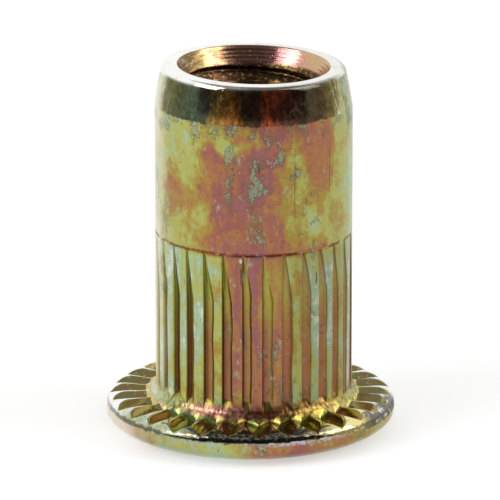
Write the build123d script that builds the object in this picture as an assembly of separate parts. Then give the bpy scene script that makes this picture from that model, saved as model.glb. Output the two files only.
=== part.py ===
from build123d import *
from math import radians, tan
import os

# An M6 rivet nut: flat serrated head, splined barrel, open threaded end. It is one piece of
# cold-formed steel, so there is one solid. Lengths are millimetres and angles are degrees.
# The origin is the centre of the head's outer face, and +Z runs along the barrel to the
# threaded end. "Inside" faces of the head are the ones towards the barrel.

# Overall
overall_length = 16.9
barrel_diameter = 8.9
head_diameter = 13.2

# Head
head_thickness = 1.65            # outer face to the tops of the serrations
head_widest_height = 0.85        # height of the head's widest circle
outer_edge_round = 2.0           # how far the outer face's rounded edge reaches inwards
inner_edge_round = 0.85          # the same on the serrated side
head_chamfer = 0.35              # between head and barrel

# Serrations: V grooves pressed into the head's inside face, growing wider outwards
serration_count = 30
serration_groove_share = 0.72    # of the pitch, the rest is the flat top of each tooth
serration_tip_share = 0.06       # the same at a groove's pointed inner end
serration_tip_length = 0.45      # over which a groove grows from its tip to its full share
serration_flank_angle = 32       # from the head's plane
serration_start_gap = 0.3        # barrel to the inner end of a groove
serration_turn = 10.5            # from a spline's steep side to a groove's middle, about the axis

# Splines: one-sided grooves pressed into the barrel, with a steep and a sloping side
spline_count = 30
spline_depth = 0.21
spline_length = 7.6              # head's inside face to the tip of a groove
spline_run_out = 2.0             # the part of it over which a groove fades to nothing
spline_foot_slope = 0.4          # how far a groove's foot drops for each millimetre outwards
spline_floor_width = 0.3
spline_floor_rise = 0.08         # the floor is shallower by this beside the sloping side
spline_steep_side_width = 0.05
spline_sloping_side_width = 0.15

# Threaded end
lead_in_length = 1.9             # tapered so that the nut enters its hole easily
lead_in_angle = 8.5              # from the axis
lead_in_blend_radius = 3.0
lip_edge_radius = 0.18

# Bore
thread_minor_diameter = 5.0      # an M6x1 tapping hole, which the thread is cut into
countersink_diameter = 6.9
countersink_angle = 60
thread_length = 6.8
relief_diameter = 6.6            # the thin-walled part that folds when the nut is set
relief_bottom_angle = 118
mouth_chamfer = 0.25

# Sizes that follow from the ones above
barrel_radius = barrel_diameter / 2
head_radius = head_diameter / 2
lip_radius = barrel_radius - lead_in_length * tan(radians(lead_in_angle))
minor_radius = thread_minor_diameter / 2
relief_radius = relief_diameter / 2
countersink_radius = countersink_diameter / 2
countersink_depth = (countersink_radius - minor_radius) / tan(radians(countersink_angle / 2))
thread_top = overall_length - countersink_depth
thread_bottom = thread_top - thread_length
relief_cone_height = (relief_radius - minor_radius) / tan(radians(relief_bottom_angle / 2))
relief_depth = thread_bottom - relief_cone_height

# How far a cutter stands clear of the surface that it cuts
cutter_margin = 0.2


def corner(face, r, z):
    """The corner of a half-section that lies at radius r and height z."""
    return min(face.vertices(), key=lambda v: abs(v.X - r) + abs(v.Z - z))


def half_section():
    """The plain nut's section from the bore's wall to the outside, in the XZ plane."""
    outer_edge_centre = (head_radius - outer_edge_round, head_widest_height)
    inner_edge_centre = (head_radius - inner_edge_round, head_widest_height)
    inner_edge_height = head_thickness - head_widest_height
    outer_edge = EllipticalCenterArc(
        outer_edge_centre, outer_edge_round, head_widest_height, start_angle=-90, arc_size=90
    )
    inner_edge = EllipticalCenterArc(
        inner_edge_centre, inner_edge_round, inner_edge_height, start_angle=0, arc_size=90
    )
    outside = Polyline(
        inner_edge @ 1,
        (barrel_radius, head_thickness),
        (barrel_radius, overall_length - lead_in_length),
        (lip_radius, overall_length),
        (countersink_radius, overall_length),
        (minor_radius, thread_top),
        (minor_radius, thread_bottom),
        (relief_radius, relief_depth),
        (relief_radius, mouth_chamfer),
        (relief_radius + mouth_chamfer, 0),
        outer_edge @ 0,
    )
    face = Plane.XZ * make_face([outer_edge, inner_edge, outside])
    face = chamfer(corner(face, barrel_radius, head_thickness), head_chamfer)
    lead_in_start = corner(face, barrel_radius, overall_length - lead_in_length)
    face = fillet(lead_in_start, lead_in_blend_radius)
    return fillet(corner(face, lip_radius, overall_length), lip_edge_radius)


def spline_section():
    """One spline groove's section at height 0, cut into the barrel on its +X side."""
    steep_slope = spline_steep_side_width / spline_depth
    sloping_slope = spline_sloping_side_width / (spline_depth - spline_floor_rise)
    bottom_radius = barrel_radius - spline_depth
    top_radius = barrel_radius + cutter_margin
    floor_end = spline_steep_side_width + spline_floor_width
    groove_width = floor_end + spline_sloping_side_width
    outline = Polyline(
        (top_radius, -steep_slope * cutter_margin),
        (bottom_radius, spline_steep_side_width),
        (bottom_radius + spline_floor_rise, floor_end),
        (top_radius, groove_width + sloping_slope * cutter_margin),
        close=True,
    )
    return make_face(outline)


def spline_cutter():
    """Cuts one groove, which fades out above and runs out over the head's chamfer below."""
    groove_start = head_thickness + head_chamfer
    run_out_start = head_thickness + spline_length - spline_run_out
    low_end = Pos(0, 0, groove_start) * spline_section()
    high_end = Pos(0, 0, run_out_start) * spline_section()
    rise = spline_depth + cutter_margin
    fade_length = spline_run_out * rise / spline_depth
    straight = extrude(low_end, run_out_start - groove_start, dir=(0, 0, 1))
    fade_out = extrude(high_end, Vector(rise, 0, fade_length).length, dir=(rise, 0, fade_length))
    drop = rise * spline_foot_slope
    flare = extrude(low_end, Vector(rise, 0, -drop).length, dir=(rise, 0, -drop))
    return straight + fade_out + flare


def serration_section(radius, share):
    """One serration groove's V section at that radius, as wide as its share of the pitch."""
    half_width = radius * radians(180 / serration_count) * share
    depth = half_width * tan(radians(serration_flank_angle))
    half_top = half_width + cutter_margin / tan(radians(serration_flank_angle))
    outline = Polyline(
        (radius, -half_top, head_thickness + cutter_margin),
        (radius, 0, head_thickness - depth),
        (radius, half_top, head_thickness + cutter_margin),
        close=True,
    )
    return make_face(outline)


def serration_cutter():
    """Cuts one serration groove, from beside the barrel out past the head's edge."""
    tip_radius = barrel_radius + serration_start_gap
    tip = serration_section(tip_radius, serration_tip_share)
    full = serration_section(tip_radius + serration_tip_length, serration_groove_share)
    outer_end = serration_section(head_radius + cutter_margin, serration_groove_share)
    return Rot(0, 0, serration_turn) * loft([tip, full, outer_end], ruled=True)


def around(cutter, count):
    """Copies of a cutter, evenly spaced about the axis."""
    return [Rot(0, 0, 360 / count * i) * cutter for i in range(count)]


def rivet_nut():
    blank = revolve(half_section(), Axis.Z)
    splined = blank - around(spline_cutter(), spline_count)
    return splined - around(serration_cutter(), serration_count)


os.makedirs("parts", exist_ok=True)
export_step(rivet_nut(), "parts/rivet_nut.step")
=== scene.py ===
import random
from math import atan2, ceil, cos, hypot, pi, radians, sin, tan

import bmesh
import bpy
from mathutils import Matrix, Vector, noise


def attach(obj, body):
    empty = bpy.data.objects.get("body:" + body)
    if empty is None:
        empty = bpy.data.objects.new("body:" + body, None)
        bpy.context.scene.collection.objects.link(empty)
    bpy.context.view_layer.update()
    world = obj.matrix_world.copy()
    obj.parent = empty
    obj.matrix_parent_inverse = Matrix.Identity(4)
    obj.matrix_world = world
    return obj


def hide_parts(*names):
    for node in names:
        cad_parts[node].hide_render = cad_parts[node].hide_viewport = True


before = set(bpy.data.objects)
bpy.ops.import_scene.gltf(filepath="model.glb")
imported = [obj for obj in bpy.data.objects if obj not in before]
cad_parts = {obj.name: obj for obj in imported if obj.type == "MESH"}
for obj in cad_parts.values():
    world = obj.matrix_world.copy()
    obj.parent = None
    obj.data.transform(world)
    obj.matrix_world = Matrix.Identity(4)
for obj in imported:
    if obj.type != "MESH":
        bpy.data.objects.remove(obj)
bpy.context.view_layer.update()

# THE RIVET NUT
# One piece of cold-formed steel for an M6 screw: a flat serrated head, a splined barrel and an
# open, tapped end. It is turned and headed from wire, its splines and serrations are pressed
# in, its thread is tapped last, and all of it is zinc plated and yellow passivated.

# Lengths are millimetres up to the last step, which scales the mesh to metres
overall_length = 16.9
barrel_radius = 4.45
barrel_foot = 2.05               # where the barrel turns into the fillet at its foot
outside_from = 3.6               # what lies further from the axis belongs to the outside

head_thickness = 1.65
face_inner_radius, face_inner_height = 4.85, 1.69
face_outer_radius, face_outer_height = 5.72, 1.66
foot_fillet, foot_fillet_height = 0.4, 2.09
rim_reach, rim_rise, rim_centre_height = 0.82, 0.56, 1.1
widest_point = (6.56, 0.98)
under_centre_radius, under_reach, under_height = 4.57, 2.0, 0.86
head_shift = 0.148               # the head was upset slightly beside the barrel's axis
head_shift_from, head_shift_fade, head_shift_below = 4.5, 0.6, 2.2

# Points of the turned section as radius and height: the lip, the lead-in below it, and the
# shallow groove that the pressing tool left over the splines
lip_points = (
    (3.43, 16.86), (3.455, 16.885), (3.5, 16.9), (3.68, 16.9), (3.84, 16.9), (3.94, 16.894),
    (4.01, 16.875), (4.075, 16.838), (4.12, 16.785), (4.152, 16.71),
)
lead_in_points = (
    (4.18, 16.6), (4.225, 16.38), (4.27, 16.15), (4.31, 15.92), (4.349, 15.7), (4.383, 15.5),
    (4.403, 15.36), (4.42, 15.22), (4.433, 15.08), (4.443, 14.93), (4.45, 14.75),
)
tool_groove_points = ((4.443, 9.29), (4.425, 9.265), (4.437, 9.24), (4.45, 9.21))
mouth_tilt = 0.025               # the open end was cut slightly obliquely
mouth_tilt_from, mouth_tilt_full = 14.6, 16.4

# How uneven forming left the outside, up to the polished lead-in: waves on the barrel, stronger
# ones on the rim, which is sunk a little as well, and flecks on the foot of the barrel
uneven_below = 14.9
barrel_wave = 0.006
rim_wave, rim_sunk = 0.016, 0.018
rim_from_radius, rim_below = 5.9, 1.5
fleck_depth = 0.022

spline_count = 30
steps_per_spline = 20
steps_round = spline_count * steps_per_spline
pitch_degrees = 360 / spline_count
step_degrees = pitch_degrees / steps_per_spline

spline_top = 9.24
spline_run_out = 2.1
spline_depth = 0.21
spline_share = 0.54              # of the pitch, the rest is the crest between two grooves
spline_tip_share = 0.3           # how wide and deep a groove is at its tip
spline_foot, spline_foot_fade = 1.9, 0.5
# One groove across, from its steep side to its sloping side: how far along, and how deep at its
# tip and further down; then how dark the painted shade on its steep side is, step by step
groove_places = (0, 0.04, 0.09, 0.15, 0.25, 0.36, 0.47, 0.58, 0.69, 0.8, 0.91, 1)
tip_depths = (0.02, 0.5, 0.95, 0.97, 0.86, 0.74, 0.62, 0.5, 0.38, 0.26, 0.13, 0)
groove_depths = (0.03, 0.5, 0.95, 1, 0.99, 0.96, 0.93, 0.89, 0.83, 0.68, 0.33, 0.02)
steep_shade_shares = (1, 1, 1, 0.65, 0.2)
crest_before_until = 5           # up to this step the film is that of the crest before
# A spline's own turn holds over its length and dies out above and below it
own_turn_top, own_turn_fade = 11.5, 2.2
own_turn_foot, own_turn_foot_fade = 1.66, 0.45

serration_flank = tan(radians(27))
serration_half_width = 0.53
serration_start = barrel_radius + 0.22
serration_arch = 0.3             # over which a groove grows from its rounded inner end
serration_edge_round = 0.018
serration_floor = 0.8
serration_zone_radius, serration_zone_fade, serration_zone_top = 4.5, 0.4, 2.1
serration_turn = 0.3             # degrees from the step that lies in a serration's middle
serration_lag, tooth_lag = 2, 8  # the same in steps, counted from a spline's steep side
serration_wave = 0.012
wall_starts, wall_full = 0.008, 0.043    # how far the metal gave way where a wall is seen

thread_pitch = 1.0
thread_length = 6.8
thread_steps = 144
thread_crest_end, thread_root_end = 0.25, 0.625      # shares of the pitch
thread_flank = 0.3125 * thread_pitch
minor_radius = 2.5
major_radius = 3.03
countersink_radius = 3.45
relief_radius = 3.3
mouth_chamfer = 0.25
cone_rise = 1 / tan(radians(30))
relief_rise = 1 / tan(radians(59))
countersink_bottom = overall_length - (countersink_radius - minor_radius) * cone_rise
thread_bottom = countersink_bottom - thread_length
relief_top = thread_bottom - (relief_radius - minor_radius) * relief_rise
# How far outside the minor radius the thread is cut off, the turned section begins in both
# cones, and the countersink's ridged part ends
thread_cut, cone_start, cone_end = 0.57, 0.61, 0.91
thread_cut_top = countersink_bottom + thread_cut * cone_rise
thread_cut_bottom = thread_bottom - thread_cut * relief_rise
chatter_depth, chatter_pitch = 0.006, 0.16

# How much single splines and serrations differ from each other
dice = random.Random(6)
spline_shift = [dice.uniform(-0.35, 0.35) for _ in range(spline_count)]
spline_width = [dice.uniform(0.9, 1.14) for _ in range(spline_count)]
spline_press = [dice.uniform(0.88, 1.06) for _ in range(spline_count)]
spline_begin = [dice.uniform(-0.25, 0.2) for _ in range(spline_count)]
spline_end = [dice.uniform(-0.08, 0.1) for _ in range(spline_count)]
tooth_shift = [dice.uniform(-0.3, 0.3) for _ in range(spline_count)]
tooth_press = [dice.uniform(0.88, 1.1) for _ in range(spline_count)]
# The film's thickness on each spline's crest, of which those from 16 to 28 face the front
crest_film = [dice.choice((0.1, 0.25, 0.4, 0.75, 0.95)) for _ in range(spline_count)]
crest_film[16:29] = 0.1, 0.04, 0.12, 0.1, 0.24, 0.6, 0.58, 0.52, 0.24, 0.05, 0.02, 0.35, 0.02


def ease(t):
    t = min(1, max(0, t))
    return t * t * (3 - 2 * t)


def soft_lower(a, b, blend):
    """The lower of two heights, rounded over where they meet."""
    share = min(1, max(0, 0.5 + 0.5 * (b - a) / blend))
    return b + (a - b) * share - blend * share * (1 - share)


def elliptic(centre_r, centre_z, across, up, start, end, steps):
    """Points of the section on an ellipse, without its first point."""
    turns = [radians(start + (end - start) * i / steps) for i in range(1, steps + 1)]
    return [(centre_r + across * cos(t), centre_z + up * sin(t)) for t in turns]


def straight(r0, z0, r1, z1, steps):
    """Points of the section on a straight line, without its first point."""
    shares = [i / steps for i in range(1, steps + 1)]
    return [(r0 + (r1 - r0) * s, z0 + (z1 - z0) * s) for s in shares]


def turned_section():
    """The wall's section from the countersink over the lip and round the outside to the bore."""
    cone = [(minor_radius + cone_start, countersink_bottom + cone_start * cone_rise)]
    cone += straight(
        *cone[0], minor_radius + cone_end, countersink_bottom + cone_end * cone_rise, 13
    )
    cone = [(r + chatter_depth * sin(z * 2 * pi / chatter_pitch), z) for r, z in cone]
    barrel = straight(*lead_in_points[-1], barrel_radius, 9.34, 7) + list(tool_groove_points)
    barrel += straight(*tool_groove_points[-1], barrel_radius, 7.0, 15)
    barrel += straight(barrel_radius, 7.0, barrel_radius, 2.6, 11)
    barrel += straight(barrel_radius, 2.6, barrel_radius, barrel_foot, 4)
    foot = elliptic(
        face_inner_radius, foot_fillet_height, -foot_fillet, -foot_fillet, 0, 90, 8
    )
    face = straight(
        face_inner_radius, face_inner_height, face_outer_radius, face_outer_height, 8
    )
    rim = elliptic(face_outer_radius, rim_centre_height, rim_reach, rim_rise, 90, 0, 15)
    under = elliptic(under_centre_radius, under_height, under_reach, -under_height, 0, 90, 13)
    hole = [
        (3.9, 0), (relief_radius + mouth_chamfer, 0), (relief_radius, mouth_chamfer),
        (relief_radius, 3), (relief_radius, relief_top),
        (minor_radius + cone_start, thread_bottom - cone_start * relief_rise),
    ]
    upper_end = cone + list(lip_points) + list(lead_in_points)
    return upper_end + barrel + foot + face + rim + [widest_point] + under + hole


def spline_pressed(z, spline, step):
    """How deep a point of the barrel is pressed in, and its angle."""
    begin = spline_top + 0.001 if z > 9.0 else spline_top + spline_begin[spline]
    grown = min(1, max(0, (begin - z) / spline_run_out))
    ended = ease((z - spline_foot - spline_end[spline]) / spline_foot_fade)
    wave = 0.03 * sin(1.7 * z + 2.3 * spline) + 0.02 * sin(3.1 * z + spline)
    share = spline_share * spline_width[spline] * (1 + wave)
    share *= spline_tip_share + (1 - spline_tip_share) * grown
    if step < len(groove_places):
        place = groove_places[step] * share
        depth = groove_depths[step] - tip_depths[step]
        depth = tip_depths[step] + depth * ease(grown * 1.2 - 0.2)
    else:
        flat_steps = steps_per_spline - len(groove_places) + 1
        place = share + (1 - share) * (step - len(groove_places) + 1) / flat_steps
        depth = 0
    depth *= spline_tip_share + (1 - spline_tip_share) * grown ** 0.8
    depth *= ended * spline_press[spline] * (z < spline_top - 0.015)
    shift = spline_shift[spline] + 0.25 * wave
    shift += (spline_shift[(spline + 1) % spline_count] - shift) * place ** 4
    return depth, (spline + place) * pitch_degrees + shift


def serration_lowered(r, z, turn_step, tooth):
    """A point's height once the serrations are pressed in, and how far it lies on a wall."""
    steps_off = (turn_step + serration_lag) % steps_per_spline
    steps_off = min(steps_off, steps_per_spline - steps_off)
    arch = min(1, max(0, (r - serration_start) / serration_arch))
    half = serration_half_width / r * (1 + 0.4 * tooth_shift[tooth])
    half *= (1 - (1 - arch) ** 2) ** 0.5
    cut = (half - radians(steps_off * step_degrees)) * r * serration_flank * tooth_press[tooth]
    cut += serration_wave * noise.noise(Vector((r * 2, turn_step * 0.11, 5))) * arch
    lowered = soft_lower(z, head_thickness - cut, serration_edge_round) if arch > 0 else z
    lowered = max(lowered, serration_floor)
    flank = min(1, max(0, (z - lowered - wall_starts) / (wall_full - wall_starts)))
    return min(z, lowered), flank


def press_in(r, z, turn_step):
    """Where a point of the turned blank lies after pressing, and the two masks of the pressing."""
    spline, step = divmod(turn_step, steps_per_spline)
    plain = turn_step * step_degrees
    angle, groove, flank = plain, 0, 0
    if r > outside_from and z > own_turn_foot:
        groove, splined = spline_pressed(z, spline, step)
        hold = ease((own_turn_top - z) / own_turn_fade)
        hold *= ease((z - own_turn_foot) / own_turn_foot_fade)
        angle += (splined - plain) * hold
        r -= spline_depth * groove
    if r > serration_zone_radius and serration_floor < z < serration_zone_top:
        tooth = (turn_step - tooth_lag) // steps_per_spline % spline_count
        hold = ease((r - serration_zone_radius) / serration_zone_fade)
        z, flank = serration_lowered(r, z, turn_step, tooth)
        turned = plain - serration_turn + tooth_shift[tooth]
        angle += (turned - plain) * hold * ease((z - serration_floor) / 0.5)
    return r, angle, z, groove, flank


def settled(point):
    """Small unevenness of forming, the head's shift, and the oblique cut of the open end."""
    x, y, z = point
    r = hypot(x, y)
    if r > outside_from and z < uneven_below:
        wave = barrel_wave * noise.noise(Vector((x * 0.9, y * 0.9, z * 0.35)))
        if z < rim_below and r > rim_from_radius:
            wave += rim_wave * noise.noise(Vector((x * 3.1, y * 3.1, z * 3.1)))
            wave -= rim_sunk
        if z > 1.0 or r > 6:
            x, y = x * (1 + wave / r), y * (1 + wave / r)
    if 1.6 < z < 2.4 and 4.2 < r < 5.0:
        fleck = fleck_depth * noise.noise(Vector((x * 7, y * 7, z * 5)))
        x, y, z = x * (1 + fleck / r), y * (1 + fleck / r), z + fleck * 0.7
    if z < head_shift_below:
        x -= head_shift * ease((r - head_shift_from) / head_shift_fade)
    z -= x * mouth_tilt * ease((z - mouth_tilt_from) / (mouth_tilt_full - mouth_tilt_from))
    return x, y, z


def thread_section():
    """The tapped wall's section over one pitch: crest, flank, root and flank."""
    steps = (0.02, 0.125, 0.23, 0.27, 0.35, 0.43, 0.51, 0.555, 0.5825, 0.6675, 0.695)
    steps += (0.74, 0.82, 0.9, 0.98)
    rows = []
    for place in steps:
        if place < thread_crest_end:
            height = 0
        elif place < thread_root_end:
            height = min(1, (place - thread_crest_end) / thread_flank)
        else:
            height = min(1, (1 - place) / thread_flank)
        rows.append((minor_radius + (major_radius - minor_radius) * height, place))
    return rows


def tapped_wall():
    """The thread: its section is turned and raised by one pitch, then cut at both ends."""
    wall = bmesh.new()
    rows = []
    for turn in range(int(relief_top) - 2, int(ceil(overall_length)) + 2):
        rows += [(r, turn * thread_pitch + z) for r, z in thread_section()]
    verts = [wall.verts.new((r, 0, z)) for r, z in rows]
    edges = [wall.edges.new(pair) for pair in zip(verts, verts[1:])]
    bmesh.ops.spin(
        wall, geom=verts + edges, cent=(0, 0, 0), axis=(0, 0, 1), angle=2 * pi,
        steps=thread_steps, dvec=(0, 0, thread_pitch / thread_steps), use_merge=False,
    )
    bmesh.ops.remove_doubles(wall, verts=wall.verts, dist=0.0005)
    for height, away in ((thread_cut_top, 1), (thread_cut_bottom, -1)):
        bmesh.ops.bisect_plane(
            wall, geom=wall.verts[:] + wall.edges[:] + wall.faces[:], dist=0.0001,
            plane_co=(0, 0, height), plane_no=(0, 0, away), clear_outer=True,
        )
    # Both cones cut into the thread's crests
    for vert in wall.verts:
        x, y, z = vert.co
        r = hypot(x, y)
        upper = minor_radius + (z - countersink_bottom) / cone_rise
        lower = minor_radius + (thread_bottom - z) / relief_rise
        wider = max(r, upper, lower) / r
        vert.co = (x * wider, y * wider, z)
    mesh = bpy.data.meshes.new("tapped_wall")
    wall.to_mesh(mesh)
    wall.free()
    return mesh


def make_rivet_nut():
    nut = bmesh.new()
    groove_mask = nut.verts.layers.float.new("groove")
    flank_mask = nut.verts.layers.float.new("flank")
    steep_shade_mask = nut.verts.layers.float.new("steep_shade")
    crest_mask = nut.verts.layers.float.new("crest")
    verts = [nut.verts.new((r, 0, z)) for r, z in turned_section()]
    edges = [nut.edges.new(pair) for pair in zip(verts, verts[1:])]
    bmesh.ops.spin(
        nut, geom=verts + edges, cent=(0, 0, 0), axis=(0, 0, 1), angle=2 * pi,
        steps=steps_round, use_merge=True,
    )
    for vert in nut.verts:
        x, y, z = vert.co
        turn_step = round(atan2(y, x) / (2 * pi) * steps_round) % steps_round
        r, angle, z, groove, flank = press_in(hypot(x, y), z, turn_step)
        vert.co = (r * cos(radians(angle)), r * sin(radians(angle)), z)
        vert[groove_mask], vert[flank_mask] = groove, flank
        spline, step = divmod(turn_step, steps_per_spline)
        # How much painted shade a groove's steep side gets at this step
        vert[steep_shade_mask] = groove * steep_shade_shares[step] if step < len(steep_shade_shares) else 0
        vert[crest_mask] = crest_film[spline if step > crest_before_until else spline - 1]
    nut.from_mesh(tapped_wall())
    # The turned wall and the thread meet in two pairs of open rings, one at each of its ends
    middle = (thread_cut_top + thread_cut_bottom) / 2
    for above in (True, False):
        rings = [e for e in nut.edges if e.is_boundary and (e.verts[0].co.z > middle) == above]
        bmesh.ops.bridge_loops(nut, edges=rings)
    for vert in nut.verts:
        vert.co = settled(vert.co)
    bmesh.ops.remove_doubles(nut, verts=nut.verts, dist=0.0002)
    bmesh.ops.recalc_face_normals(nut, faces=nut.faces)
    for face in nut.faces:
        face.smooth = True
    bmesh.ops.scale(nut, vec=(0.001, 0.001, 0.001), verts=nut.verts)
    mesh = bpy.data.meshes.new("rivet_nut_turned")
    nut.to_mesh(mesh)
    nut.free()
    made = bpy.data.objects.new("rivet_nut_turned", mesh)
    bpy.context.scene.collection.objects.link(made)
    return made


rivet_nut = make_rivet_nut()


def linear(red, green, blue):
    """A colour of the finish, from its 0 to 255 values to Blender's linear ones."""
    shares = [c / 255 for c in (red, green, blue)]
    linear_shares = [s / 12.92 if s <= 0.04045 else ((s + 0.055) / 1.055) ** 2.4 for s in shares]
    return (*linear_shares, 1)


plating = bpy.data.materials.new("yellow_passivated_zinc")
plating.use_nodes = True
tree = plating.node_tree
surface = tree.nodes["Principled BSDF"]


def connect(value, socket):
    """Links another node's output to a socket, or sets the socket to a plain value."""
    if isinstance(value, bpy.types.NodeSocket):
        tree.links.new(value, socket)
    else:
        socket.default_value = value


def add_node(kind, inputs=None, **settings):
    node = tree.nodes.new(kind)
    for name, value in settings.items():
        setattr(node, name, value)
    for key, value in (inputs or {}).items():
        connect(value, node.inputs[key])
    return node


def calc(operation, a, b=0.0, c=0.0, clamp=False):
    inputs = {0: a, 1: b, 2: c}
    return add_node("ShaderNodeMath", inputs, operation=operation, use_clamp=clamp).outputs[0]


def chain(operation, values):
    result = values[0]
    for value in values[1:]:
        result = calc(operation, result, value)
    return result


def total(*values):
    return chain("ADD", values)


def both(*masks):
    """Where all of the masks are."""
    return chain("MULTIPLY", masks)


def either(*masks):
    return chain("MAXIMUM", masks)


def without(mask, other):
    return calc("MULTIPLY", mask, calc("SUBTRACT", 1.0, other))


def toward(value, target, share):
    """value, moved by that share of the way to target."""
    return total(value, calc("MULTIPLY", calc("SUBTRACT", target, value), share))


def swing(noise_value, reach):
    """Noise from 0 to 1 as a swing of that reach to both sides of 0."""
    return calc("MULTIPLY_ADD", noise_value, 2 * reach, -reach)


def spread(value, low, high, to_low=0.0, to_high=1.0):
    """value from low..high to to_low..to_high, smoothly and held at the ends."""
    inputs = {
        "Value": value, "From Min": low, "From Max": high, "To Min": to_low, "To Max": to_high,
    }
    node = add_node("ShaderNodeMapRange", inputs, interpolation_type="SMOOTHSTEP")
    return node.outputs["Result"]


def between(value, rise_from, rise_to, fall_from, fall_to):
    """A mask that rises from rise_from to rise_to and falls from fall_from to fall_to."""
    return both(spread(value, rise_from, rise_to), spread(value, fall_to, fall_from))


def near(value, middle, reach):
    """One where value is at middle, falling to nothing at reach from it."""
    return spread(calc("ABSOLUTE", calc("SUBTRACT", value, middle)), reach, reach * 0.25)


def off_middle(turn_value, height_value, turn, level, half_turn, half_height):
    """How far a point lies from a patch's middle: 1 on the ellipse of the two half sizes."""
    across = calc("MULTIPLY", calc("SUBTRACT", turn_value, turn), 1 / half_turn)
    along = calc("MULTIPLY", calc("SUBTRACT", height_value, level), 1 / half_height)
    return calc("SQRT", calc("MULTIPLY_ADD", across, across, calc("MULTIPLY", along, along)))


def blend(factor, a, b, kind="MIX"):
    node = add_node("ShaderNodeMix", data_type="RGBA", blend_type=kind)
    for key, value in (("Factor_Float", factor), ("A_Color", a), ("B_Color", b)):
        connect(value, next(s for s in node.inputs if s.identifier == key))
    return next(s for s in node.outputs if s.identifier == "Result_Color")


def painted(base, mask, strength, tint):
    return blend(calc("MULTIPLY", mask, strength), base, tint)


def ramp(value, stops, kind="LINEAR"):
    node = add_node("ShaderNodeValToRGB", {0: value})
    node.color_ramp.interpolation = kind
    elements = node.color_ramp.elements
    while len(elements) < len(stops):
        elements.new(0.5)
    for element, (position, colour) in zip(elements, stops):
        element.position = position
        element.color = colour if isinstance(colour, tuple) else (colour, colour, colour, 1)
    return node.outputs["Color"]


coordinates = add_node("ShaderNodeTexCoord")
own_place = add_node(
    "ShaderNodeMapping", {"Vector": coordinates.outputs["Object"], "Scale": (1000, 1000, 1000)}
).outputs[0]


def cloud(scale, detail=2.0, roughness=0.5, stretch=(1, 1, 1), seat=(0, 0, 0), distortion=0.0):
    """Noise in millimetres on the object's own coordinates, stretched and moved."""
    mapping = add_node(
        "ShaderNodeMapping", {"Vector": own_place, "Location": seat, "Scale": stretch}
    )
    inputs = {
        "Vector": mapping.outputs[0], "Scale": scale, "Detail": detail, "Roughness": roughness,
        "Distortion": distortion,
    }
    return add_node("ShaderNodeTexNoise", inputs).outputs[0]


def attribute(name):
    return add_node("ShaderNodeAttribute", attribute_name=name).outputs["Fac"]


axes = add_node("ShaderNodeSeparateXYZ", {0: own_place})
x_mm, y_mm, z_mm = axes.outputs[0], axes.outputs[1], axes.outputs[2]
radius_mm = calc("SQRT", total(calc("MULTIPLY", x_mm, x_mm), calc("MULTIPLY", y_mm, y_mm)))
# The turn about the axis, counted from the front: positive to the right
front_turn = calc("ARCTAN2", x_mm, calc("MULTIPLY", y_mm, -1.0))
turn_degrees = calc("MULTIPLY", front_turn, 180 / pi)
turn_share = calc("MULTIPLY_ADD", front_turn, 1 / (2 * pi), 0.5)
groove, crest = attribute("groove"), attribute("crest")
# The grooves' steep sides bring their painted shade with the mesh
flank, steep_shade = attribute("flank"), attribute("steep_shade")
splined = between(z_mm, 1.6, 2.1, 9.0, 9.3)
rim = spread(z_mm, 1.4, 1.2)

# The passivation's film: its thickness changes round the barrel and in clouds, and its colour
# goes with it from mint over yellow green, gold and orange to rose and lilac
lobes = (
    (0.0, 0.45), (0.08, 0.72), (0.16, 0.4), (0.22, 0.3), (0.262, 0.06), (0.3, 0.2), (0.345, 0.3),
    (0.405, 0.32), (0.44, 0.52), (0.495, 0.7), (0.53, 0.68), (0.562, 0.47), (0.605, 0.44),
    (0.633, 0.6), (0.66, 0.3), (0.7, 0.16), (0.74, 0.1), (0.8, 0.5), (0.86, 0.74), (0.93, 0.3),
    (1.0, 0.45),
)
rim_lobes = (
    (0.0, 0.3), (0.12, 0.6), (0.22, 0.35), (0.305, 0.7), (0.36, 0.58), (0.4, 0.3),
    (0.445, 0.12), (0.485, 0.3), (0.515, 0.64), (0.555, 0.7), (0.61, 0.5), (0.65, 0.34),
    (0.71, 0.46), (0.85, 0.2), (1.0, 0.3),
)
lobe_turn = total(turn_share, swing(cloud(0.5, 2, 0.6, (1, 1, 0.45)), 0.035))
film = ramp(lobe_turn, lobes, "B_SPLINE")

# Larger patches on the plain barrel: turn from the front in degrees, height, how far they reach
# in degrees and in height, and the film's thickness in them
patches = (
    (-46, 13.8, 24, 1.9, 0.25), (-52, 11.9, 14, 1.2, 0.58), (-38, 10.6, 13, 1.7, 0.36),
    (-2, 10.3, 28, 1.6, 0.7), (-12, 12.8, 14, 1.9, 0.71), (-18, 10.6, 12, 1.8, 0.68),
    (9, 14.1, 12, 1.2, 0.74), (27, 13.2, 10, 1.6, 0.32), (41, 12.9, 10, 1.9, 0.6),
    (22, 11.5, 9, 1.0, 0.42), (56, 10.6, 18, 1.3, 0.28), (31, 14.6, 11, 0.7, 0.68),
    (63, 12.8, 13, 2.2, 0.36), (-12, 14.5, 16, 0.7, 0.3), (35, 10.2, 12, 1.0, 0.3),
)
drift = cloud(0.55, 3, 0.6, (1, 1, 0.8), (4, 7, 1))
drifted_turn = total(turn_degrees, swing(drift, 25))
drifted_z = total(z_mm, swing(cloud(0.6, 3, 0.6, (1, 1, 1), (9, 1, 5)), 1.5))
for turn, level, wide, long, thickness in patches:
    off = off_middle(drifted_turn, drifted_z, turn, level, wide, long)
    film = toward(film, thickness, calc("MULTIPLY", spread(off, 1.25, 0.45), 0.85))
film = toward(film, crest, calc("MULTIPLY", splined, 0.65))
film = toward(film, ramp(lobe_turn, rim_lobes, "B_SPLINE"), rim)
film_cloud = swing(cloud(0.7, 4, 0.6, (1, 1, 0.8), (3, 1, 0), 0.4), 0.4)
film_mottle = swing(cloud(4.0, 3, 0.7, (1, 1, 0.8), (7, 2, 4)), 0.2)
film_streaks = both(swing(cloud(3.2, 3, 0.6, (1, 1, 0.1), (5, 2, 2)), 0.3), splined)
film = total(film, film_cloud, film_mottle, film_streaks)
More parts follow.
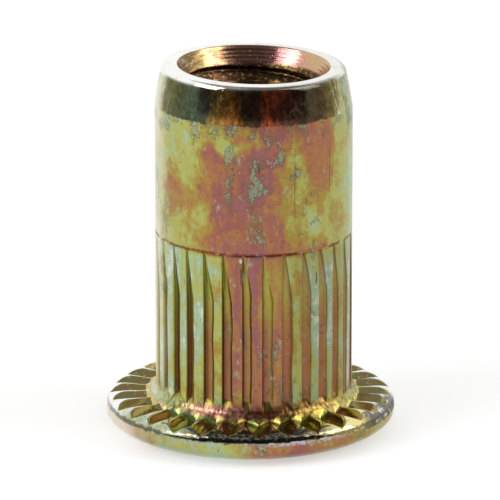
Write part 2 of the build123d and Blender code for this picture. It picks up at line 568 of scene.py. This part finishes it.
valley_height = total(z_mm, swing(cloud(0.5, 2, 0.5, (1, 1, 0.3), (8, 8, 8)), 2.0))
valley_film = spread(valley_height, 4.6, 8.2, 0.72, 0.3)
film = toward(film, valley_film, calc("MULTIPLY", groove, 0.8))
film_colours = (
    (0.0, linear(212, 216, 196)), (0.12, linear(162, 184, 152)), (0.27, linear(172, 174, 96)),
    (0.44, linear(164, 140, 70)), (0.58, linear(166, 114, 78)), (0.74, linear(150, 96, 90)),
    (0.88, linear(146, 112, 122)), (1.0, linear(152, 150, 158)),
)
colour = ramp(film, film_colours, "EASE")

# Mint and grey spots where the film is thin, and lilac grey scuffs down to the zinc: a slanting
# one, one beside the front, the lead-in's edge, and larger clouds of them
spots = spread(cloud(1.7, 4, 0.7, (1, 1, 0.7), (11, 5, 2), 0.4), 0.58, 0.68)
colour = painted(colour, spots, 0.6, linear(158, 184, 150))
slant_turn = calc("MULTIPLY_ADD", z_mm, 3.5, -36.9)
slant_zone = both(near(drifted_turn, slant_turn, 9.0), near(z_mm, 12.0, 3.6))
line_zone = both(near(turn_degrees, -13.0, 5.0), near(z_mm, 12.8, 2.4))
edge_cloud = spread(cloud(0.9, 2, 0.5, (1, 1, 1), (5, 9, 9)), 0.42, 0.6)
edge_zone = both(near(z_mm, 14.9, 0.8), edge_cloud)
cloud_zone = calc("MULTIPLY", spread(cloud(0.35, 2), 0.52, 0.62), 0.6)
scuff_zone = either(slant_zone, line_zone, edge_zone, cloud_zone)
scuff_cloud = cloud(2.1, 6, 0.78, (1, 1, 0.55), (2, 9, 5), 0.3)
scuff_field = calc("MULTIPLY_ADD", scuff_zone, 0.19, scuff_cloud)
scuffs = spread(scuff_field, 0.655, 0.69)
scuff_film = ramp(
    cloud(9.0, 4, 0.7),
    (
        (0.36, linear(96, 90, 60)), (0.44, linear(140, 150, 106)),
        (0.52, linear(148, 166, 132)), (0.58, linear(160, 160, 162)),
        (0.68, linear(210, 212, 204)),
    ),
)
colour = painted(colour, scuffs, 0.75, scuff_film)
scuff_edges = between(scuff_field, 0.63, 0.66, 0.68, 0.71)
colour = painted(colour, scuff_edges, 0.5, linear(78, 62, 46))
nicks = spread(cloud(5.5, 2, 0.5, (1, 1, 0.7), (1, 3, 8)), 0.72, 0.76)
colour = painted(colour, nicks, 0.8, linear(190, 190, 200))
specks = spread(cloud(7.0, 2, 0.6, (1, 1, 1), (4, 4, 9)), 0.66, 0.73)
colour = painted(colour, specks, 0.6, linear(70, 50, 36))

# Single marks, each with its turn from the front in degrees, height, half width, half length
# and colour: two knocks that show the zinc, and scratches along the barrel
zinc, shadow = linear(196, 198, 206), linear(96, 76, 44)
marks = (
    (11.8, 3.5, 0.1, 0.11, zinc), (-6.5, 9.0, 0.07, 0.12, zinc), (-5.2, 8.2, 0.07, 0.35, zinc),
    (-6.2, 8.3, 0.06, 0.5, shadow), (25.2, 12.4, 0.022, 2.1, shadow),
    (50.3, 12.9, 0.025, 2.0, shadow), (40, 7.9, 0.05, 0.4, shadow), (4, 13.2, 0.05, 0.3, shadow),
    (38.6, 8.6, 0.05, 0.1, zinc),
)
for turn, level, half_wide, half_long, tint in marks:
    half_turn = half_wide / radians(barrel_radius)
    off = off_middle(turn_degrees, z_mm, turn, level, half_turn, half_long)
    ragged = calc("MULTIPLY_ADD", cloud(6.0, 2), 1.2, off)
    colour = painted(colour, spread(ragged, 1.6, 1.3), 0.85, tint)

# The lip, the tops of the teeth and the head's upper edge are worn nearly to the zinc
lip = both(spread(z_mm, 16.62, 16.74), spread(radius_mm, 3.42, 3.47))
tooth_tops = both(spread(z_mm, 1.05, 1.2), spread(radius_mm, 4.66, 4.82))
worn = either(lip, tooth_tops)
worn_film = ramp(
    cloud(2.2, 4, 0.6, (1, 1, 1), (8, 8, 1)),
    ((0.35, linear(255, 255, 252)), (0.55, linear(250, 250, 244)), (0.7, linear(238, 236, 216))),
)
shoulder_film = ramp(
    cloud(2.6, 4, 0.65, (1, 1, 1), (3, 6, 2)),
    ((0.38, linear(206, 212, 190)), (0.5, linear(168, 180, 150)), (0.62, linear(190, 180, 120))),
)
shoulder = both(
    spread(radius_mm, 5.75, 6.1), between(turn_degrees, -72.0, -56.0, -10.0, 20.0)
)
worn_film = blend(without(shoulder, lip), worn_film, shoulder_film)
gilt = without(between(turn_degrees, 17.0, 26.0, 54.0, 62.0), lip)
worn_film = painted(worn_film, gilt, 0.9, linear(255, 240, 158))
colour = painted(colour, worn, 0.95, worn_film)
# A grey band on the lip's outer edge, towards the front and the right
lip_edge = both(
    spread(z_mm, 16.6, 16.7), spread(radius_mm, 3.9, 4.0), spread(turn_degrees, -12.0, 2.0),
    spread(calc("ABSOLUTE", turn_degrees), 80.0, 60.0),
)
colour = painted(colour, lip_edge, 0.7, linear(150, 160, 148))

# The foot of the barrel is rough from forming, and its film runs from pale mint over rose to gold;
# at the front it is dark brown, which is painted shade in the fillet
foot = both(between(z_mm, 1.5, 1.6, 2.1, 2.3), spread(radius_mm, 4.84, 4.7))
foot_turn = total(turn_share, swing(cloud(5.0, 3, 0.7, (1, 1, 0.5), (1, 7, 7)), 0.05))
foot_film_and_shade = ramp(
    foot_turn,
    (
        (0.1, linear(196, 176, 90)), (0.28, linear(164, 188, 124)), (0.37, linear(166, 170, 108)),
        # From 0.5 to 0.55, at the front, the dark browns are painted shade
        (0.41, linear(206, 146, 132)), (0.47, linear(190, 128, 116)), (0.5, linear(120, 62, 50)),
        (0.55, linear(104, 62, 38)), (0.6, linear(206, 170, 80)), (0.66, linear(210, 190, 100)),
        (0.75, linear(176, 174, 96)), (0.85, linear(190, 140, 110)),
    ),
)
colour = painted(colour, foot, 0.85, foot_film_and_shade)
foot_pits = both(foot, spread(cloud(6.0, 3, 0.7, (1, 1, 0.5), (3, 9, 2)), 0.5, 0.58))
colour = painted(colour, foot_pits, 0.6, linear(74, 44, 24))

# Towards the left the film thins out to mint on the rim; further round, the left edge is painted
# pale rose as a painted reflection of the white surroundings
mint_cloud = spread(cloud(1.3, 3, 0.6, (1, 1, 1.6), (7, 7, 3)), 0.4, 0.6)
mint = both(rim, between(turn_degrees, -54.0, -40.0, -16.0, 4.0), mint_cloud)
colour = painted(colour, mint, 0.7, linear(158, 176, 158))
# The painted reflection at the left edge, which reaches further to the front on the rim
left_edge_reflection_turn = calc("MULTIPLY_ADD", rim, -16.0, total(turn_degrees, swing(drift, 15)))
left_edge_reflection = without(between(left_edge_reflection_turn, -116.0, -96.0, -80.0, -54.0), either(worn, flank))
colour = painted(colour, left_edge_reflection, calc("MULTIPLY_ADD", rim, 0.2, 0.6), linear(236, 228, 204))

# On the right the splines are painted darker, as painted shade
right_spline_shade = both(splined, spread(turn_degrees, 12.0, 36.0))
colour = painted(colour, right_spline_shade, 0.3, linear(96, 84, 58))

# The head's upper edge: a painted shadow line above its side, a band at the front painted dark
# as a painted reflection, a darker band on the right, and lilac scuffs on the edge itself
edge_noise = cloud(3.0, 4, 0.7, (1, 1, 1), (6, 2, 9))
edge_height = total(z_mm, swing(edge_noise, 0.17))
# The front band: a painted dark reflection, mottled with grey
front_reflection_band = both(
    between(turn_degrees, -34.0, -20.0, 28.0, 40.0), spread(radius_mm, 5.9, 6.15),
    spread(edge_height, 1.12, 1.2),
)
front_reflection_mottle = ramp(
    cloud(5.0, 4, 0.7, (1, 1, 2), (4, 4, 2)),
    ((0.42, linear(44, 34, 28)), (0.53, linear(92, 84, 68)), (0.62, linear(196, 194, 182))),
)
colour = painted(colour, front_reflection_band, 0.9, front_reflection_mottle)
right_band = both(
    between(turn_degrees, 50.0, 57.0, 84.0, 96.0), spread(edge_noise, 0.3, 0.52),
    spread(radius_mm, 5.8, 6.05), spread(edge_height, 0.94, 1.04),
)
colour = painted(colour, right_band, 0.9, linear(74, 70, 48))
# The painted shadow line above the head's side
edge_shadow_line = both(near(edge_height, 1.22, 0.15), spread(radius_mm, 6.0, 6.2))
colour = painted(colour, edge_shadow_line, 0.75, linear(44, 36, 26))
rub = both(
    near(edge_height, 1.06, 0.12), near(turn_degrees, 24.0, 26.0), spread(radius_mm, 6.2, 6.4),
    spread(cloud(5.0, 4, 0.75), 0.46, 0.54),
)
colour = painted(colour, rub, 0.9, linear(184, 186, 202))

# The line over the splines, where the pressing tool ended
line_height = calc("MULTIPLY_ADD", cloud(6.0, 3), 0.16, z_mm)
line_cloud = spread(cloud(1.1, 3, 0.6, (1, 1, 1), (9, 4, 4)), 0.36, 0.46)
tool_line = both(near(line_height, 9.35, 0.1), spread(radius_mm, 4.2, 4.3), line_cloud)
colour = painted(colour, tool_line, 0.85, linear(112, 50, 40))

# The grooves hold browner film. Their steep sides are painted dark as painted shade, and so, on
# the right, is a line along their shallow edges. The serrations' walls hold olive film, lighter
# towards both sides
valley_tint = blend(spread(valley_height, 4.6, 7.6), linear(140, 78, 60), linear(140, 136, 54))
colour = painted(colour, groove, 0.4, valley_tint)
on_right = spread(turn_degrees, 8.0, 24.0)
sloping = without(calc("MULTIPLY", without(groove, groove), 4.0), steep_shade)
sloping_film = blend(on_right, linear(160, 158, 66), linear(136, 84, 58))
colour = painted(colour, sloping, 0.55, sloping_film)
# On the right, painted shade along the grooves' shallow edges
brow_shade = without(both(near(groove, 0.16, 0.2), on_right), steep_shade)
colour = painted(colour, brow_shade, 0.7, linear(84, 64, 36))
# Painted shade on the grooves' steep sides
colour = painted(colour, steep_shade, 0.8, linear(66, 52, 22))
wall_film = ramp(
    cloud(1.5, 3, 0.6),
    ((0.35, linear(150, 168, 84)), (0.5, linear(172, 168, 82)), (0.65, linear(184, 150, 80))),
)
side_on = spread(calc("ABSOLUTE", turn_degrees), 35.0, 60.0)
side_film = ramp(
    cloud(2.6, 4, 0.65, (1, 1, 1), (2, 8, 8)),
    ((0.38, linear(196, 200, 116)), (0.62, linear(226, 180, 128))),
)
wall_film = painted(wall_film, side_on, 0.75, side_film)
wall_film = painted(wall_film, near(turn_degrees, -36.0, 22.0), 0.6, linear(112, 146, 84))
colour = painted(colour, flank, 0.95, wall_film)

# The polished lead-in is painted dark on its front, in blocks of slate, olive, amber and maroon:
# the film's streaks under a painted reflection of the dark room, left out on its sides
ragged_height = total(z_mm, swing(cloud(2.6, 5, 0.7, (1, 1, 0.8), (2, 6, 6)), 0.25))
# On its sides the lead-in gets no painted reflection
side_without_reflection = either(near(turn_degrees, 74.0, 14.0), near(turn_degrees, -80.0, 16.0))
lead_in = both(
    spread(ragged_height, 15.14, 15.24), spread(z_mm, 16.86, 16.7), spread(radius_mm, 3.8, 3.95)
)
lead_in = without(lead_in, side_without_reflection)
streak_turn = total(turn_share, swing(cloud(2.0, 4, 0.65, (1, 1, 0.22), (6, 0, 0)), 0.045))
streaks_and_reflection = ramp(
    streak_turn,
    (
        (0.1, linear(120, 110, 70)), (0.2, linear(64, 66, 56)), (0.29, linear(206, 200, 160)),
        (0.325, linear(98, 94, 50)), (0.36, linear(64, 70, 50)), (0.372, linear(66, 80, 68)),
        (0.425, linear(56, 66, 62)), (0.445, linear(156, 124, 64)), (0.47, linear(178, 112, 54)),
        (0.488, linear(60, 56, 36)), (0.508, linear(64, 46, 34)), (0.522, linear(206, 90, 46)),
        (0.54, linear(170, 74, 46)), (0.553, linear(84, 52, 46)), (0.585, linear(80, 54, 46)),
        (0.602, linear(54, 54, 46)), (0.63, linear(64, 50, 30)), (0.66, linear(110, 96, 54)),
        (0.675, linear(196, 190, 136)), (0.8, linear(90, 70, 46)),
    ),
)
streak_mottle = ramp(cloud(5.0, 4, 0.7, (1, 1, 0.7), (3, 8, 5)), ((0.42, 0.55), (0.6, 1.25)))
streaks_and_reflection = blend(1.0, streaks_and_reflection, streak_mottle, "MULTIPLY")
# The film's streaks with the painted reflection of the dark room
colour = painted(colour, lead_in, 0.92, streaks_and_reflection)

# The bore's brown film is painted dark as painted shade, mottled with painted glints, and the
# countersink is bright, from a painted gold highlight on the left over rose to pink
bore = both(spread(radius_mm, 3.5, 3.3), spread(z_mm, 16.75, 16.3))
bore_shade_and_glints = ramp(
    cloud(4.5, 4, 0.7, (1, 1, 2.2), (6, 3, 1)),
    ((0.44, linear(46, 32, 22)), (0.56, linear(84, 58, 38)), (0.64, linear(190, 150, 104))),
)
colour = painted(colour, bore, 0.92, bore_shade_and_glints)
cone_cloud = calc("MULTIPLY", cloud(1.6, 3, 0.6, (1, 1, 4), (2, 2, 2)), 0.5)
# The gold on the countersink's left is a painted highlight
cone_film_and_highlight = ramp(
    total(cone_cloud, calc("MULTIPLY", x_mm, 0.13), 0.25),
    (
        (0.1, linear(124, 100, 60)), (0.23, linear(220, 188, 126)), (0.33, linear(150, 110, 84)),
        (0.5, linear(152, 108, 92)), (0.66, linear(186, 126, 128)), (0.78, linear(206, 160, 134)),
        (0.92, linear(196, 170, 120)),
    ),
)
cone = both(spread(radius_mm, 3.47, 3.43), spread(z_mm, 16.1, 16.25))
colour = blend(cone, colour, cone_film_and_highlight)

# The zinc is satin, smoother where it is worn or polished and duller in the scuffs
roughness = calc("MULTIPLY_ADD", cloud(2.4, 4, 0.6, (1, 1, 0.5)), 0.22, 0.22)
roughness = calc("MULTIPLY_ADD", scuffs, 0.15, roughness)
polished = either(lead_in, worn, cone, spread(z_mm, 1.7, 1.4))
roughness = calc("MULTIPLY_ADD", polished, -0.18, roughness, clamp=True)
roughness = calc("MULTIPLY_ADD", worn, -0.12, roughness, clamp=True)
roughness = calc("MULTIPLY_ADD", right_band, 0.5, roughness, clamp=True)

# Grain and fine scratches along the axis, and pits where the nicks and specks are
grain = calc("MULTIPLY", cloud(9.0, 4, 0.6, (1, 1, 0.35)), 0.006)
scratches = calc("MULTIPLY", cloud(14.0, 2, 0.5, (1, 1, 0.06), (5, 5, 5)), 0.003)
pits = calc("MULTIPLY", total(nicks, specks), -0.012)
smooth_share = calc("MULTIPLY_ADD", either(lead_in, lip), -0.65, 1.0)
relief = calc("MULTIPLY", total(grain, scratches, pits), smooth_share)
bump = add_node("ShaderNodeBump", {"Height": relief, "Strength": 0.7, "Distance": 0.001})
connect(colour, surface.inputs["Base Color"])
connect(roughness, surface.inputs["Roughness"])
connect(bump.outputs[0], surface.inputs["Normal"])
connect(calc("MULTIPLY_ADD", right_band, -0.9, 1.0), surface.inputs["Metallic"])

rivet_nut.data.materials.append(plating)
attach(rivet_nut, "root")
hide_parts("rivet_nut")

# THE STUDIO
# A white floor that runs on to the horizon, a white world behind it, a soft lamp at each side,
# and the dark room behind the camera and over it, which the polished parts mirror.


def directly_seen(node_tree):
    """One for rays from the camera and from mirroring surfaces, nothing for all other rays."""
    rays = node_tree.nodes.new("ShaderNodeLightPath")
    seen = node_tree.nodes.new("ShaderNodeMath")
    seen.operation = "MAXIMUM"
    node_tree.links.new(rays.outputs["Is Camera Ray"], seen.inputs[0])
    node_tree.links.new(rays.outputs["Is Glossy Ray"], seen.inputs[1])
    return seen.outputs[0]


def card(name, centre, side_a, side_b, grey, glow):
    """A flat card of the studio, from its centre, its two half sides, its grey and its glow."""
    mesh = bpy.data.meshes.new(name)
    sheet = bmesh.new()
    bmesh.ops.create_grid(sheet, x_segments=1, y_segments=1, size=1)
    middle, a, b = Vector(centre), Vector(side_a), Vector(side_b)
    for vert in sheet.verts:
        vert.co = middle + a * vert.co.x + b * vert.co.y
    sheet.to_mesh(mesh)
    sheet.free()
    paint = bpy.data.materials.new(name)
    paint.use_nodes = True
    nodes, links = paint.node_tree.nodes, paint.node_tree.links
    coat = nodes["Principled BSDF"].inputs
    coat["Base Color"].default_value = (grey, grey, grey, 1)
    coat["Roughness"].default_value = 1
    coat["Specular IOR Level"].default_value = 0
    coat["Emission Color"].default_value = (1, 1, 1, 1)
    glowing = nodes.new("ShaderNodeMath")
    glowing.operation = "MULTIPLY"
    glowing.inputs[1].default_value = glow
    links.new(directly_seen(paint.node_tree), glowing.inputs[0])
    links.new(glowing.outputs[0], coat["Emission Strength"])
    mesh.materials.append(paint)
    made = bpy.data.objects.new(name, mesh)
    bpy.context.scene.collection.objects.link(made)
    return made


card("floor", (0, 0, 0), (3, 0, 0), (0, 3, 0), 0.6, 0.5)
dark_room = card("dark_room", (0, -0.5, 0.42), (1.2, 0, 0), (0, 0, 0.4), 0.02, 0.1)
dark_ceiling = card("dark_ceiling", (0, 0, 0.6), (0.3, 0, 0), (0, 0.5, 0), 0.02, 0.25)
for hidden in (dark_room, dark_ceiling):
    hidden.visible_camera = False
    hidden.visible_diffuse = False
    hidden.visible_shadow = False


def soft_lamp(name, spot, side, power):
    """A square lamp that points at the nut's middle."""
    light = bpy.data.lights.new(name, "AREA")
    light.shape = "RECTANGLE"
    light.size, light.size_y, light.energy = side, side, power
    lamp = bpy.data.objects.new(name, light)
    lamp.location = spot
    to_nut = Vector((0, 0, 0.008)) - Vector(spot)
    lamp.rotation_euler = to_nut.to_track_quat("-Z", "Y").to_euler()
    bpy.context.scene.collection.objects.link(lamp)


soft_lamp("lamp_left", (-0.27, -0.15, 0.2), 0.2, 0.5)
soft_lamp("lamp_right", (0.3, -0.06, 0.2), 0.2, 0.38)

# The air is white where it is seen, and lights the nut a little less than that
scene = bpy.context.scene
world = bpy.data.worlds.new("studio_air")
world.use_nodes = True
scene.world = world
air = world.node_tree
background = air.nodes["Background"]
background.inputs["Color"].default_value = (1, 1, 1, 1)
air_light = air.nodes.new("ShaderNodeMapRange")
air_light.inputs["To Min"].default_value = 0.65
air_light.inputs["To Max"].default_value = 1.0
air.links.new(directly_seen(air), air_light.inputs["Value"])
air.links.new(air_light.outputs[0], background.inputs["Strength"])

scene.view_settings.view_transform = "Standard"

# THE CAMERA
# A long lens from a little above, so that the barrel's sides stay nearly parallel.
elevation, side_turn, distance = radians(16.51), radians(1), 0.262
aim = Vector((0, 0, 0.00822))
away = Vector((sin(side_turn) * cos(elevation), -cos(side_turn) * cos(elevation), sin(elevation)))
lens = bpy.data.cameras.new("camera")
lens.lens = 417.4
lens.shift_x = -0.00746
lens.clip_start, lens.clip_end = 0.01, 20
camera = bpy.data.objects.new("camera", lens)
camera.location = aim + away * distance
camera.rotation_euler = (-away).to_track_quat("-Z", "Y").to_euler()
scene.collection.objects.link(camera)
scene.camera = camera
